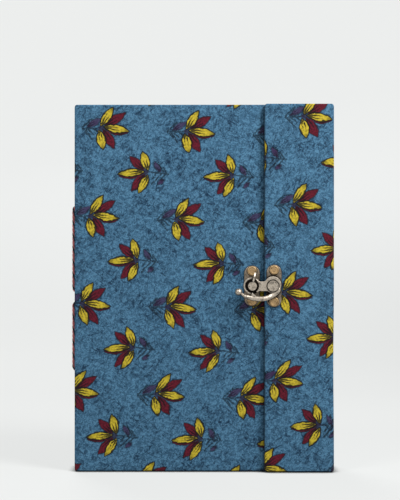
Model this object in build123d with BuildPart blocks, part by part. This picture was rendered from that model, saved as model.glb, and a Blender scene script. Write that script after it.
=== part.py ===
from build123d import *
from dataclasses import dataclass
import os

# A hand-bound diary in printed cloth, standing on its tail edge with its front towards -Y.
# The back cover runs on round the fore-edge into a flap, and a swing-hook clasp holds the
# flap to the front cover. X runs from spine to fore-edge and Z from tail to head.

# Overall sizes
width = 152.4
height = 215.9
flap_width = 40.7

# Cover build-up, from the outside in: cloth, board, turned-in cloth, lining paper
cloth = 0.45
board = 2.0
lining = 0.3
turn_in = 15.0
lining_inset = 3.0
corner_radius = 1.5
edge_radius = 0.8
roll_round = 1.3
cover = cloth + board + cloth + lining

# Clearances between the covers
crease_gap = 0.35
flap_gap = 0.3
flap_lift = 0.25
front_setback = 1.2

# Spine
spine_card_thickness = 1.2

# Text block: folded sections of handmade paper
section_count = 6
section_thickness = 2.8
section_gap = 0.05
block_gap = 0.1
fold_gap = 0.15
leaf_slit = 0.15
head_margin = 3.0
fore_margin = 3.0

# Sewing: one cord for each section, in two long stitches on the spine
thread_radius = 0.85
thread_play = 0.2
thread_bend = 1.1
thread_lift = 0.05
thread_tail = 6.0
first_station = 156.0
second_station = 106.0
third_station = 99.5
fourth_station = 59.5
stations = (first_station, second_station, third_station, fourth_station)

# Clasp places: the pivot from the flap's free edge and the tail, the post from the pivot and the tail
pivot_inset = 4.7
pivot_from_tail = 109.4
clasp_reach = 12.0
post_from_tail = 109.3

# Clasp plates
plate_thickness = 0.7
plate_edge = 0.25
pivot_plate_width = 8.6
pivot_plate_length = 24.7
pivot_plate_shift = 0.75
post_plate_width = 9.1
post_plate_length = 23.7
rivet_inset = 3.1
pivot_rivet_pitch = pivot_plate_length - 2 * rivet_inset
post_rivet_pitch = post_plate_length - 2 * rivet_inset

# Plate rivets
rivet_head_radius = 2.8
rivet_head_height = 0.55
rivet_dish_radius = 1.9
rivet_dish_depth = 0.2
rivet_shank_radius = 1.3
rivet_clinch_radius = 2.2
rivet_clinch_height = 0.5
rivet_fit = 0.1
rivet_rim = 0.15
dish_taper = 45

# Feet of the post and of the pivot rivet, clinched behind their plates
stud_shank_radius = 1.1
stud_clinch_radius = 2.4
stud_clinch_height = 0.8
stud_sink = stud_clinch_height + rivet_fit - cloth

# Hook, with places from its pivot and heights above the flap's outer face
hook_base = 1.5
hook_thickness = 1.3
hook_round = 0.35
hub_radius = 4.9
hub_rise = 0.7
hub_seat_radius = 3.2
seat_clearance = 0.05
pivot_play = 0.08
pivot_neck_radius = 2.0
pivot_head_radius = 3.4
pivot_head_height = 0.7
pivot_dish_radius = 2.5
pivot_dish_depth = 0.2
ring_offset = 0.25
ring_reach = clasp_reach + ring_offset
ring_inner = 3.96
ring_outer = 5.0
mouth_start = 262.0
mouth_end = 307.0
mouth_round = 0.35
bridge_bottom = -3.1
bridge_top = 2.6
bridge_round = 0.5
saddle_round = 1.8

# Thumb lever of the hook, arched over the post's head and ending in a ball.
# Each station gives its place, its half width and how far it has risen.
lever_clearance = 0.3
lever_height = 1.8
lever_stations = (
    (3.1, -0.6, 1.2, 0.0),
    (2.0, -3.7, 1.5, 0.08),
    (-1.2, -6.0, 1.5, 0.3),
    (-4.7, -7.3, 1.45, 1.0),
    (-9.2, -7.45, 1.45, 1.0),
    (-13.4, -6.85, 1.25, 1.0),
    (-17.3, -5.35, 1.0, 0.75),
)
spur_tip = (-12.2, -3.8)
spur_left = (-13.0, -6.6)
spur_right = (-9.2, -6.6)
spur_height = 1.2
ball_radius = 2.1
ball_place = (-20.05, -3.5)
neck_radius = 0.8

# Finger rib across the crown of the ring
finger_width = 0.9
finger_start = 2.8
finger_stem = 5.2
finger_knee = 5.8
finger_end = 8.0
finger_height = 0.8
finger_sink = 0.4
finger_tilt = 14.0

# Post
post_neck_radius = 1.25
post_head_radius = 2.97
post_head_clearance = 0.2
post_rim = 0.3
post_dome = 0.4

# Depth planes, from the back of the book to the front of the clasp
block = section_count * section_thickness + (section_count - 1) * section_gap
post_head_base = hook_base + hook_thickness + post_head_clearance
post_top = post_head_base + post_rim + post_dome
lever_base = post_top + lever_clearance
lever_top = lever_base + lever_height
depth = 3 * cover + block + 2 * block_gap + flap_gap + lever_top
back_outer = depth / 2
back_inner = back_outer - cover
front_inner = back_inner - block - 2 * block_gap
front_outer = front_inner - cover
flap_inner = front_outer - flap_gap
flap_outer = flap_inner - cover

# Plan places
turned_depth = cloth + board + cloth
spine_depth = cloth + spine_card_thickness + cloth + lining
spine_side = -width / 2
fore_side = width / 2
back_length = width - cover - crease_gap
front_length = width - cover - front_setback
spine_length = (back_outer - turned_depth) - (front_outer + turned_depth)
strip_length = back_outer - flap_inner - crease_gap
fold_x = spine_side + spine_depth + fold_gap
leaf_end = spine_side + front_length - fore_margin
thread_in = fold_x + section_thickness / 2
thread_out = spine_side - thread_radius - thread_lift
thread_hole = thread_radius + thread_play

# Clasp planes: local x runs to the fore-edge, local y runs up and local z faces forwards
pivot_x = fore_side - flap_width + pivot_inset
post_x = pivot_x - clasp_reach
pivot_plane = Plane((pivot_x, flap_outer, pivot_from_tail), x_dir=(1, 0, 0), z_dir=(0, -1, 0))
post_plane = Plane((post_x, front_outer, post_from_tail), x_dir=(1, 0, 0), z_dir=(0, -1, 0))


def beside(plane, x, y):
    """The same plane with its origin moved along itself."""
    return plane.shift_origin(plane.from_local_coords(Vector(x, y, 0)))


pivot_plate_plane = beside(pivot_plane, pivot_plate_shift, 0)
pivot_rivet_planes = [beside(pivot_plate_plane, 0, s * pivot_rivet_pitch / 2) for s in (1, -1)]
post_rivet_planes = [beside(post_plane, 0, s * post_rivet_pitch / 2) for s in (1, -1)]


@dataclass
class Panel:
    """One covered panel. Local x runs along it, local y runs up and local z faces outwards."""

    face: Plane
    length: float
    stiff: float = board
    wrapped: tuple = ()
    turned: tuple = ()
    rounded: tuple = ()
    rolled: bool = False
    lining_start: float = 0.0
    lining_stop: float = 0.0
    rivets: tuple = ()
    stud: tuple = ()

    def board_span(self):
        start = cloth if "start" in self.wrapped else 0.0
        stop = self.length - cloth if "end" in self.wrapped else self.flat_length()
        return start, stop

    def flat_length(self):
        return self.length - cover / 2 if self.rolled else self.length

    def window_span(self):
        start, stop = self.board_span()
        start = turn_in if "start" in self.turned else start
        stop = self.length - turn_in if "end" in self.turned else stop
        return start, stop


front = Panel(
    face=Plane((spine_side, front_outer, 0), x_dir=(1, 0, 0), z_dir=(0, -1, 0)),
    length=front_length,
    wrapped=("start", "end"),
    turned=("end",),
    rounded=("start", "end"),
    lining_start=spine_depth,
    lining_stop=front_length - lining_inset,
    rivets=post_rivet_planes,
    stud=(post_plane,),
)
back = Panel(
    face=Plane((spine_side + back_length, back_outer, 0), x_dir=(-1, 0, 0), z_dir=(0, 1, 0)),
    length=back_length,
    wrapped=("start", "end"),
    rounded=("end",),
    lining_start=cloth,
    lining_stop=back_length - spine_depth,
)
spine = Panel(
    face=Plane((spine_side, back_outer - turned_depth, 0), x_dir=(0, -1, 0), z_dir=(-1, 0, 0)),
    length=spine_length,
    stiff=spine_card_thickness,
    lining_stop=spine_length,
)
fore_edge = Panel(
    face=Plane((fore_side, flap_inner + crease_gap, flap_lift), x_dir=(0, 1, 0), z_dir=(1, 0, 0)),
    length=strip_length,
    wrapped=("start",),
    rolled=True,
    lining_start=cloth,
    lining_stop=strip_length - cover / 2,
)
flap = Panel(
    face=Plane((fore_side - flap_width, flap_outer, flap_lift), x_dir=(1, 0, 0), z_dir=(0, -1, 0)),
    length=flap_width,
    wrapped=("start",),
    turned=("start",),
    rounded=("start",),
    rolled=True,
    lining_start=lining_inset,
    lining_stop=flap_width - cover / 2,
    rivets=pivot_rivet_planes,
    stud=(pivot_plane,),
)


def slab(face, x_low, x_high, y_low, y_high, deep, thick, mode=Mode.ADD, ends=(), radius=0.0):
    """A block seen from outside as a rectangle, its top a depth below the face.

    The corners at the named ends along it are rounded.
    """
    with BuildSketch(face.offset(-deep)) as outline:
        with Locations(((x_low + x_high) / 2, (y_low + y_high) / 2)):
            Rectangle(x_high - x_low, y_high - y_low)
        columns = outline.vertices().group_by(Axis.X)
        corners = [v for end in ends for v in columns[0 if end == "start" else -1]]
        if corners:
            fillet(corners, radius)
    extrude(outline.sketch, amount=-thick, mode=mode)


def bore(plane, deep, radius, amount):
    """A round hole, cut from a depth below the plane."""
    with BuildSketch(plane.offset(-deep)) as outline:
        Circle(radius)
    extrude(outline.sketch, amount=amount, mode=Mode.SUBTRACT)


def panel_board(panel):
    """The stiff board of a panel, counterbored at the back for the clasp's clinched rivets."""
    start, stop = panel.board_span()
    with BuildPart() as piece:
        slab(
            panel.face, start, stop, cloth, height - cloth, cloth, panel.stiff,
            ends=panel.rounded, radius=corner_radius - cloth,
        )
        for plane in panel.rivets:
            bore(plane, cloth, rivet_shank_radius + rivet_fit, -panel.stiff)
            bore(plane, cloth + panel.stiff, rivet_clinch_radius + rivet_fit, rivet_clinch_height + rivet_fit)
        for plane in panel.stud:
            bore(plane, cloth, stud_clinch_radius + rivet_fit, -stud_sink)
    return piece


def crease_roll(panel):
    """The half-round edge of a panel at its crease, rounded off at head and tail."""
    plan = Plane(panel.face.origin, x_dir=panel.face.x_dir, z_dir=panel.face.y_dir)
    with BuildPart() as piece:
        with BuildSketch(plan) as roll:
            with Locations((panel.flat_length(), cover / 2)):
                Circle(cover / 2)
                Rectangle(cover, cover, align=(Align.MAX, Align.CENTER), mode=Mode.SUBTRACT)
        extrude(roll.sketch, amount=height)
        fillet(piece.edges().filter_by(GeomType.CIRCLE), roll_round)
    return piece


def panel_cloth(panel):
    """The cloth of a panel: its outside, its wrapped edges and the strips turned in behind."""
    start, stop = panel.board_span()
    window_start, window_stop = panel.window_span()
    flat = panel.flat_length()
    with BuildPart() as piece:
        slab(
            panel.face, 0, flat, 0, height, 0, cloth + panel.stiff + cloth,
            ends=panel.rounded, radius=corner_radius,
        )
        outside = piece.faces().sort_by(Axis(panel.face.origin, panel.face.z_dir))[-1]
        fillet([e for e in outside.edges() if on_rim(e, panel)], edge_radius)
        if panel.rolled:
            add(crease_roll(panel).part)
        slab(
            panel.face, start, stop, cloth, height - cloth, cloth, panel.stiff, Mode.SUBTRACT,
            ends=panel.rounded, radius=corner_radius - cloth,
        )
        slab(
            panel.face, window_start, window_stop, turn_in, height - turn_in,
            cloth + panel.stiff, cloth, Mode.SUBTRACT,
        )
        for plane in panel.rivets:
            bore(plane, 0, rivet_shank_radius + rivet_fit, -cloth)
        for plane in panel.stud:
            bore(plane, 0, stud_clinch_radius + rivet_fit, -cloth)
    return piece


def on_rim(edge, panel):
    """True for an edge of a panel's outside where the cloth turns over the board."""
    along = (edge.center() - panel.face.origin).dot(panel.face.x_dir)
    at_plain_start = along < edge_radius and "start" not in panel.wrapped
    at_plain_end = along > panel.flat_length() - edge_radius and "end" not in panel.wrapped
    return not at_plain_start and not at_plain_end


def panel_lining(panel):
    """The lining paper, pasted on the board between the turn-ins and over their edges."""
    start, stop = panel.window_span()
    deep = cloth + panel.stiff
    with BuildPart() as piece:
        slab(panel.face, start, stop, turn_in, height - turn_in, deep, cloth)
        slab(
            panel.face, panel.lining_start, panel.lining_stop,
            lining_inset, height - lining_inset, deep + cloth, lining,
        )
    return piece


def save(piece, name):
    """Label one finished piece and write it out under its own name."""
    piece.part.label = name
    export_step(piece.part, f"parts/{name}.step")


def clasp_plate(plane, plate_width, plate_length, pitch, stud_shift):
    """A pill-shaped clasp plate with two rivet holes and one hole for its post or pivot."""
    with BuildPart() as piece:
        with BuildSketch(plane):
            SlotOverall(plate_length, plate_width, rotation=90)
            with Locations((0, pitch / 2), (0, -pitch / 2)):
                Circle(rivet_shank_radius + rivet_fit, mode=Mode.SUBTRACT)
            with Locations((stud_shift, 0)):
                Circle(stud_shank_radius + rivet_fit, mode=Mode.SUBTRACT)
        extrude(amount=plate_thickness)
        top = piece.faces().sort_by(Axis(plane.origin, plane.z_dir))[-1]
        fillet(top.outer_wire().edges(), plate_edge)
    return piece


def disc(plane, low, high, radius):
    """A round step of a turned piece, between two heights above a plane."""
    with BuildSketch(plane.offset(low)) as outline:
        Circle(radius)
    extrude(outline.sketch, amount=high - low)


def dish(plane, top, radius, deep):
    """A shallow hollow in the top of a head."""
    with BuildSketch(plane.offset(top)) as outline:
        Circle(radius)
    extrude(outline.sketch, amount=-deep, taper=dish_taper, mode=Mode.SUBTRACT)


def plate_rivets(planes):
    """The two rivets of one plate, each clinched in its counterbore behind the board."""
    through = cloth + board
    top = plate_thickness + rivet_head_height
    with BuildPart() as piece:
        for plane in planes:
            disc(plane, -through, plate_thickness, rivet_shank_radius)
            disc(plane, -through, -through + rivet_clinch_height, rivet_clinch_radius)
            disc(plane, plate_thickness, top, rivet_head_radius)
        heads = piece.faces().sort_by(Axis(planes[0].origin, planes[0].z_dir))[-len(planes):]
        fillet([e for head in heads for e in head.edges()], rivet_head_height - rivet_rim)
        for plane in planes:
            dish(plane, top, rivet_dish_radius, rivet_dish_depth)
    return piece


os.makedirs("parts", exist_ok=True)

# Covered panels
for name, panel in (("front", front), ("back", back), ("fore_edge", fore_edge), ("flap", flap)):
    save(panel_board(panel), f"{name}_board")
    save(panel_cloth(panel), f"{name}_cloth")
    save(panel_lining(panel), f"{name}_lining")

# Spine, pierced for the sewing
section_middles = [
    back_inner - block_gap - section_thickness / 2 - n * (section_thickness + section_gap)
    for n in range(section_count)
]
sewing_holes = [(y, z) for y in section_middles for z in stations]


def pierced(blank):
    """A spine layer with a hole at each sewing station of each section."""
    with BuildPart() as piece:
        add(blank.part)
        with BuildSketch(Plane((spine_side, 0, 0), x_dir=(0, 1, 0), z_dir=(1, 0, 0))) as holes:
            with Locations(*sewing_holes):
                Circle(thread_hole)
        extrude(holes.sketch, amount=spine_depth, mode=Mode.SUBTRACT)
    return piece


save(pierced(panel_board(spine)), "spine_card")
save(pierced(panel_cloth(spine)), "spine_cloth")
save(pierced(panel_lining(spine)), "spine_lining")


def section(middle):
    """One section of folded leaves, its fold at the spine and its two halves parting at a slit."""
    with BuildPart() as piece:
        with BuildSketch(Plane.XY.offset(head_margin)) as plan:
            with Locations((fold_x + section_thickness / 2, middle)):
                Circle(section_thickness / 2)
                Rectangle(
                    leaf_end - fold_x - section_thickness / 2, section_thickness,
                    align=(Align.MIN, Align.CENTER),
                )
            with Locations((thread_in, middle)):
                Circle(thread_hole, mode=Mode.SUBTRACT)
                Rectangle(
                    leaf_end - thread_in, leaf_slit, align=(Align.MIN, Align.CENTER), mode=Mode.SUBTRACT
                )
        extrude(plan.sketch, amount=height - 2 * head_margin)
        with BuildSketch(Plane((fold_x, middle, 0), x_dir=(0, 1, 0), z_dir=(1, 0, 0))) as holes:
            with Locations(*[(0, z) for z in stations]):
                Circle(thread_hole)
        extrude(holes.sketch, amount=thread_in - fold_x, mode=Mode.SUBTRACT)
    return piece


def sewing_thread(middle):
    """The cord of one section: out at one station, down the spine and in at the next, twice over."""
    route = [
        (thread_in, middle, first_station + thread_tail),
        (thread_in, middle, first_station),
        (thread_out, middle, first_station),
        (thread_out, middle, second_station),
        (thread_in, middle, second_station),
        (thread_in, middle, third_station),
        (thread_out, middle, third_station),
        (thread_out, middle, fourth_station),
        (thread_in, middle, fourth_station),
        (thread_in, middle, fourth_station - thread_tail),
    ]
    with BuildPart() as piece:
        with BuildLine() as path:
            FilletPolyline(*route, radius=thread_bend)
        with BuildSketch(Plane(route[0], z_dir=(0, 0, -1))) as cut:
            Circle(thread_radius)
        sweep(cut.sketch, path=path.line)
    return piece


for number, middle in enumerate(section_middles, start=1):
    save(section(middle), f"section_{number}")
    save(sewing_thread(middle), f"sewing_thread_{number}")

# Clasp plates and their rivets
save(clasp_plate(post_plane, post_plate_width, post_plate_length, post_rivet_pitch, 0), "post_plate")
save(plate_rivets(post_rivet_planes), "post_plate_rivets")
save(
    clasp_plate(
        pivot_plate_plane, pivot_plate_width, pivot_plate_length, pivot_rivet_pitch, -pivot_plate_shift
    ),
    "pivot_plate",
)
save(plate_rivets(pivot_rivet_planes), "pivot_plate_rivets")

# Catch post on the front cover, long enough for its head to stand over the hook
with BuildPart() as catch_post:
    rise = flap_gap + cover
    disc(post_plane, -stud_clinch_height, 0, stud_clinch_radius)
    disc(post_plane, -stud_clinch_height, plate_thickness, stud_shank_radius)
    disc(post_plane, plate_thickness, rise + post_head_base, post_neck_radius)
    disc(post_plane, rise + post_head_base, rise + post_top, post_head_radius)
    crown = catch_post.faces().sort_by(Axis(post_plane.origin, post_plane.z_dir))[-1]
    fillet(crown.edges(), post_dome)
save(catch_post, "catch_post")

# Pivot rivet on the flap, whose head keeps the hook on its neck
with BuildPart() as pivot_rivet:
    hook_top = hook_base + hook_thickness
    disc(pivot_plane, -stud_clinch_height, 0, stud_clinch_radius)
    disc(pivot_plane, -stud_clinch_height, plate_thickness, stud_shank_radius)
    disc(pivot_plane, plate_thickness, hook_top + seat_clearance, pivot_neck_radius)
    disc(pivot_plane, hook_top + seat_clearance, hook_top + pivot_head_height, pivot_head_radius)
    crown = pivot_rivet.faces().sort_by(Axis(pivot_plane.origin, pivot_plane.z_dir))[-1]
    fillet(crown.edges(), plate_edge)
    dish(pivot_plane, hook_top + pivot_head_height, pivot_dish_radius, pivot_dish_depth)
save(pivot_rivet, "pivot_rivet")

# Thumb lever: a tapering bar that leaves the hub, rises over the post and falls to its ball
low_middle = hook_base + hook_thickness / 2
high_middle = lever_base + lever_height / 2
ball_height = lever_top - ball_radius
lever_points = [
    pivot_plane.from_local_coords(Vector(x, z, low_middle + rise * (high_middle - low_middle)))
    for x, z, half_width, rise in lever_stations
]
ball_centre = pivot_plane.from_local_coords(Vector(*ball_place, ball_height))
with BuildPart() as lever:
    before = [lever_points[0]] + lever_points[:-1]
    after = lever_points[1:] + [ball_centre]
    for station, point, back_point, next_point in zip(lever_stations, lever_points, before, after):
        run = next_point - back_point
        half_height = hook_thickness / 2 + station[3] * (lever_height - hook_thickness) / 2
        with BuildSketch(Plane(point, x_dir=run.cross(pivot_plane.z_dir), z_dir=run)):
            Ellipse(station[2], half_height)
    loft()

# Swing hook: hub, bridge and open ring in one flat layer, with the lever growing out of the hub
with BuildPart() as hook_lever:
    with BuildSketch(pivot_plane.offset(hook_base)) as layer:
        with Locations((0, hub_rise)):
            Circle(hub_radius)
        with Locations((-ring_reach, 0)):
            Circle(ring_outer)
        with Locations((-ring_reach / 2, (bridge_bottom + bridge_top) / 2)):
            Rectangle(ring_reach, bridge_top - bridge_bottom)
        fillet(layer.vertices().sort_by(Axis.Y)[-2:], saddle_round)
        fillet(layer.vertices().sort_by(Axis.Y)[:2], bridge_round)
        with Locations((-ring_reach, 0)):
            Circle(ring_inner, mode=Mode.SUBTRACT)
            mouth = [Vector(2 * ring_outer, 0).rotate(Axis.Z, angle) for angle in (mouth_start, mouth_end)]
            Polygon((0, 0), *mouth, align=None, mode=Mode.SUBTRACT)
        fillet(layer.vertices(Select.LAST), mouth_round)
    extrude(layer.sketch, amount=hook_thickness)
    top = hook_lever.faces().sort_by(Axis(pivot_plane.origin, pivot_plane.z_dir))[-1]
    fillet(top.edges(), hook_round)
    disc(pivot_plane, plate_thickness + seat_clearance, hook_base, hub_seat_radius)
    add(lever.part)
    with BuildSketch(pivot_plane.offset(lever_base)) as spur:
        Polygon(spur_tip, spur_left, spur_right, align=None)
    extrude(spur.sketch, amount=spur_height)
    neck_run = ball_centre - lever_points[-1]
    with BuildSketch(Plane(ball_centre, x_dir=neck_run, z_dir=neck_run.cross(pivot_plane.z_dir))) as turning:
        Circle(ball_radius)
        Rectangle(neck_run.length, 2 * neck_radius, align=(Align.MAX, Align.CENTER))
        Rectangle(2 * neck_run.length, ball_radius, align=(Align.CENTER, Align.MAX), mode=Mode.SUBTRACT)
    revolve(turning.sketch, axis=Axis(ball_centre, neck_run))
    ring_centre = pivot_plane.from_local_coords(Vector(-ring_reach, 0, 0))
    out = Vector(0, 0, 1).rotate(Axis.Y, finger_tilt)
    with BuildSketch(Plane(ring_centre, x_dir=out, z_dir=out.cross(Vector(0, -1, 0)))) as finger:
        with BuildLine():
            Polyline(
                (finger_start, lever_base),
                (finger_start, lever_base + finger_height),
                (finger_knee, lever_base + finger_height),
                (finger_end, hook_base + hook_thickness + finger_height),
                (finger_end, hook_base + hook_thickness),
                (finger_knee, hook_base + finger_sink),
                (ring_outer - finger_sink, hook_base + finger_sink),
                (ring_outer - finger_sink, hook_base + hook_thickness - finger_sink),
                (finger_stem, hook_base + hook_thickness - finger_sink),
                (finger_stem, lever_base),
                close=True,
            )
        make_face()
    extrude(finger.sketch, amount=finger_width / 2, both=True)
    bore(pivot_plane, -lever_top, pivot_neck_radius + pivot_play, -lever_top)
    bore(pivot_plane, -hook_top, pivot_head_radius + pivot_play, lever_top)
save(hook_lever, "hook_lever")
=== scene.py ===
"""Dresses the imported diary: printed cloth, linings, handmade leaves, sewing cord and an aged clasp."""

from bisect import bisect_right
from itertools import accumulate
from math import cos, exp, hypot, pi, radians, sin

import bmesh
import bpy
from bpy.props import FloatProperty, FloatVectorProperty, IntProperty, PointerProperty
from bpy.types import Operator, Panel, PropertyGroup
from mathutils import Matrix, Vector, noise


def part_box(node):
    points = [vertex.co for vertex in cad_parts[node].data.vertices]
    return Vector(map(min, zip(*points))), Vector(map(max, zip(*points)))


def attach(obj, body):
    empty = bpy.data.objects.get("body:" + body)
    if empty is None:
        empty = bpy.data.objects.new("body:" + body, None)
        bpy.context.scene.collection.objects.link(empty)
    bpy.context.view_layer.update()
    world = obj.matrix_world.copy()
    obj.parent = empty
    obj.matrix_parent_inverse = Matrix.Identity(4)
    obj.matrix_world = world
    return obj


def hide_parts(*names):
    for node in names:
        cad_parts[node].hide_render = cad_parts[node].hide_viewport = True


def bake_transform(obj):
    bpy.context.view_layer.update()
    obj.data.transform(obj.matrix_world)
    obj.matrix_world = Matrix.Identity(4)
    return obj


bl_info = {
    "name": "Cloth Diary with Hook Clasp",
    "version": (1, 0, 0),
    "blender": (4, 5, 0),
    "location": "View3D > Sidebar > Diary",
    "description": "Dresses a packed diary in printed cloth, handmade paper, sewing cord and aged metal",
    "category": "Object",
}

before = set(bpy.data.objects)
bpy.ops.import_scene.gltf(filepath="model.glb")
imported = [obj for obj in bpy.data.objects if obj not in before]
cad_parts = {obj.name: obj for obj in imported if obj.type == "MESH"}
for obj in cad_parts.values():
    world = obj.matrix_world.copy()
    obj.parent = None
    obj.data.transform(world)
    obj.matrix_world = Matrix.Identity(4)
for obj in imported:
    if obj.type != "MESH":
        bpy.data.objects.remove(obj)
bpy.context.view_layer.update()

MM = 0.001

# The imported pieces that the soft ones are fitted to
FRONT_LOW, FRONT_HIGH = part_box("front_cloth")
BACK_LOW, BACK_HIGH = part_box("back_cloth")
SPINE_LOW, SPINE_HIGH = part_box("spine_cloth")
STRIP_LOW, STRIP_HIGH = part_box("fore_edge_cloth")
FLAP_LOW, FLAP_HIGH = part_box("flap_cloth")
STRIP_LINING_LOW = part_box("fore_edge_lining")[0]
FLAP_LINING_LOW, FLAP_LINING_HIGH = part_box("flap_lining")
BACK_LINING_LOW, BACK_LINING_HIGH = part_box("back_lining")
SECTIONS = sorted(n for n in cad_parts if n.startswith("section_"))
THREADS = sorted(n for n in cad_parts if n.startswith("sewing_thread_"))

COVER_HEIGHT = FRONT_HIGH.z - FRONT_LOW.z
WRAP_DEPTH = FRONT_HIGH.y - FRONT_LOW.y
CREASE_RADIUS = (FLAP_HIGH.y - FLAP_LOW.y) / 2
FLAP_LIFT = FLAP_LOW.z - FRONT_LOW.z
STRIP_MIDDLE_Y = (STRIP_LOW.y + STRIP_HIGH.y) / 2
CREASE_X = STRIP_HIGH.x - CREASE_RADIUS
FLAP_CREASE_Y = FLAP_LOW.y + CREASE_RADIUS

# How far the painted shade of near pieces and of touching pieces reaches, and how far thin edges are sought
SHADE_REACH = 6.5 * MM
TOUCH_REACH = 1.6 * MM
EDGE_REACH = 0.6 * MM
SHADE_SAMPLES = 8

# Lengths in metres below which an offset is nothing, and two places are one
NO_LENGTH = 1e-9
SAME_PLACE = 1e-7

# Least part of a direction that makes it slant, and the steps in degrees round a board's edge
SLANT = 0.01
RIM_BENDS = (30, 60, 90)

# Angles in degrees above which the edges of sheets, leaves and round pieces are sharp
SHEET_SHARP, LEAF_SHARP, ROUND_SHARP = 40, 30, 60

# Hand work: how far the stretched cloth swells and its grain in a metre, and where the fore-edge draws in
CLOTH_SWELL, CLOTH_GRAIN = 0.07 * MM, 38
BOW_HEIGHT, BOW_REACH, BOW_POWER = 62 * MM, 30 * MM, 6

# Spacing of a lining's mesh, how far its ends are ragged, and how the noise for that is drawn
LINING_SPACING, LINING_RAGGED = 9 * MM, 0.35 * MM
LINING_NOISE = (0.9, 90, 3.0)

# Leaves: the slit in the middle of a section, the mesh along the edges, and how far the leaves fall short
LEAF_SLIT, LEAF_SPACING, FOLD_STEPS = 0.07 * MM, 2.6 * MM, 11
LEAF_SHORT, LEAF_UNEVEN, LEAF_NOISE = 0.5 * MM, 0.8 * MM, (2.3, 1.9, 9.0)

# Deckle edges: their mean, coarse and fine shares, then for both noises the grain in a metre, the steps by
# section and by edge, and the level; heads and fore-edges are set apart from tails by their edge numbers
DECKLE_SHARES = (0.45, 0.33, 0.22)
DECKLE_NOISES = ((95, 3.7, 11.3, 0.5), (420, 5.1, 7.9, 2.5))
HEAD_EDGES, FORE_EDGES = 40, 80

# Cord: sides and number of its plies, how close they lie, and the smoothness of its route
PLY_SIDES, PLIES, PLY_LAY = 8, 3, 0.86
ROUTE_ORDER, ROUTE_STEPS = 3, 24

# The printed repeat, in millimetres on the flat cloth: in each cell one flower faces right and one left
REPEAT_ACROSS = (50.3, -1.94)
REPEAT_DOWN = (-6.06, -51.6)
FRONT_FLOWER = (16.0, 202.1)
FLAP_FLOWER = (135.2, 208.6)
FACING_FLOWER = (25.9, -25.9)

# Sideways sway of the print down the cloth, in millimetres: how far, at what height and over what height
PRINT_SWAYS = ((-3.8, 75.0, 19.0), (2.2, 0.0, 16.0))

# Width of a drawn line in millimetres, and threads of the weave in a millimetre
LINE_WIDTH = 0.85
WEAVE_THREADS = 2.1

# Sockets of the shader groups that carry places and plain values; the others carry colours
PLACES = ("Coordinates", "Origin", "Base", "Tip", "Start", "End")
VALUES = (
    "Width", "Threads", "Open", "Solid", "Depth", "Strokes", "Shade", "Mask", "Height", "Slub", "Roughness",
)

# Petals and leaves of each flower: base, tip and width, in millimetres from the flower's heart
RIGHT_YELLOW = (
    ((-0.7, 1.2), (6.9, 12.3), 4.9),
    ((1.0, 0.7), (16.2, -1.7), 4.8),
    ((-1.6, -1.3), (1.0, -12.6), 5.4),
)
RIGHT_MAROON = (
    ((1.8, 1.2), (14.2, 9.0), 5.1),
    ((0.8, -0.8), (7.6, -12.1), 5.7),
    ((1.6, -0.2), (15.8, -2.7), 5.2),
)
RIGHT_LEAVES = (((-8.8, 0.6), (-0.2, 5.6), 3.6),)
RIGHT_LINES = (
    ((-0.8, 0.2), (-11.4, -0.6)),
    ((-11.0, -0.6), (-5.6, -6.4)),
    ((-8.2, -0.6), (-4.8, -3.6)),
    ((-11.4, 0.2), (-6.0, 5.4)),
    ((-9.6, -0.4), (-7.2, -4.0)),
    ((-5.2, -0.2), (-2.4, -2.4)),
)
LEFT_YELLOW = (
    ((1.2, 1.0), (-1.9, 12.2), 5.2),
    ((-0.9, 0.3), (-16.4, -1.1), 4.6),
    ((1.5, -1.6), (-4.4, -12.5), 4.8),
)
LEFT_MAROON = (
    ((-1.0, 1.2), (-9.6, 9.3), 5.0),
    ((-0.5, -1.2), (-8.5, -11.2), 5.3),
    ((-1.0, -0.6), (-16.0, -2.2), 5.0),
)
LEFT_LEAVES = (
    ((8.7, -0.2), (5.0, 6.0), 3.0),
    ((10.9, -4.4), (6.9, -7.2), 2.4),
)
LEFT_LINES = (
    ((1.2, 0.2), (13.2, -1.2)),
    ((9.4, -0.8), (3.6, -7.0)),
    ((11.6, -1.2), (8.6, -5.0)),
    ((10.4, 0.2), (7.2, 5.8)),
    ((6.4, -0.4), (4.2, -3.6)),
    ((12.8, -1.2), (10.2, 2.6)),
)


def LengthProperty(name, description, default):
    """A size that a user can change, in metres."""
    return FloatProperty(name=name, description=description, default=default, unit="LENGTH")


def ColourProperty(name, description, default):
    """A colour that a user can change, as shown on a display."""
    return FloatVectorProperty(name=name, description=description, default=default, subtype="COLOR_GAMMA")


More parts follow.
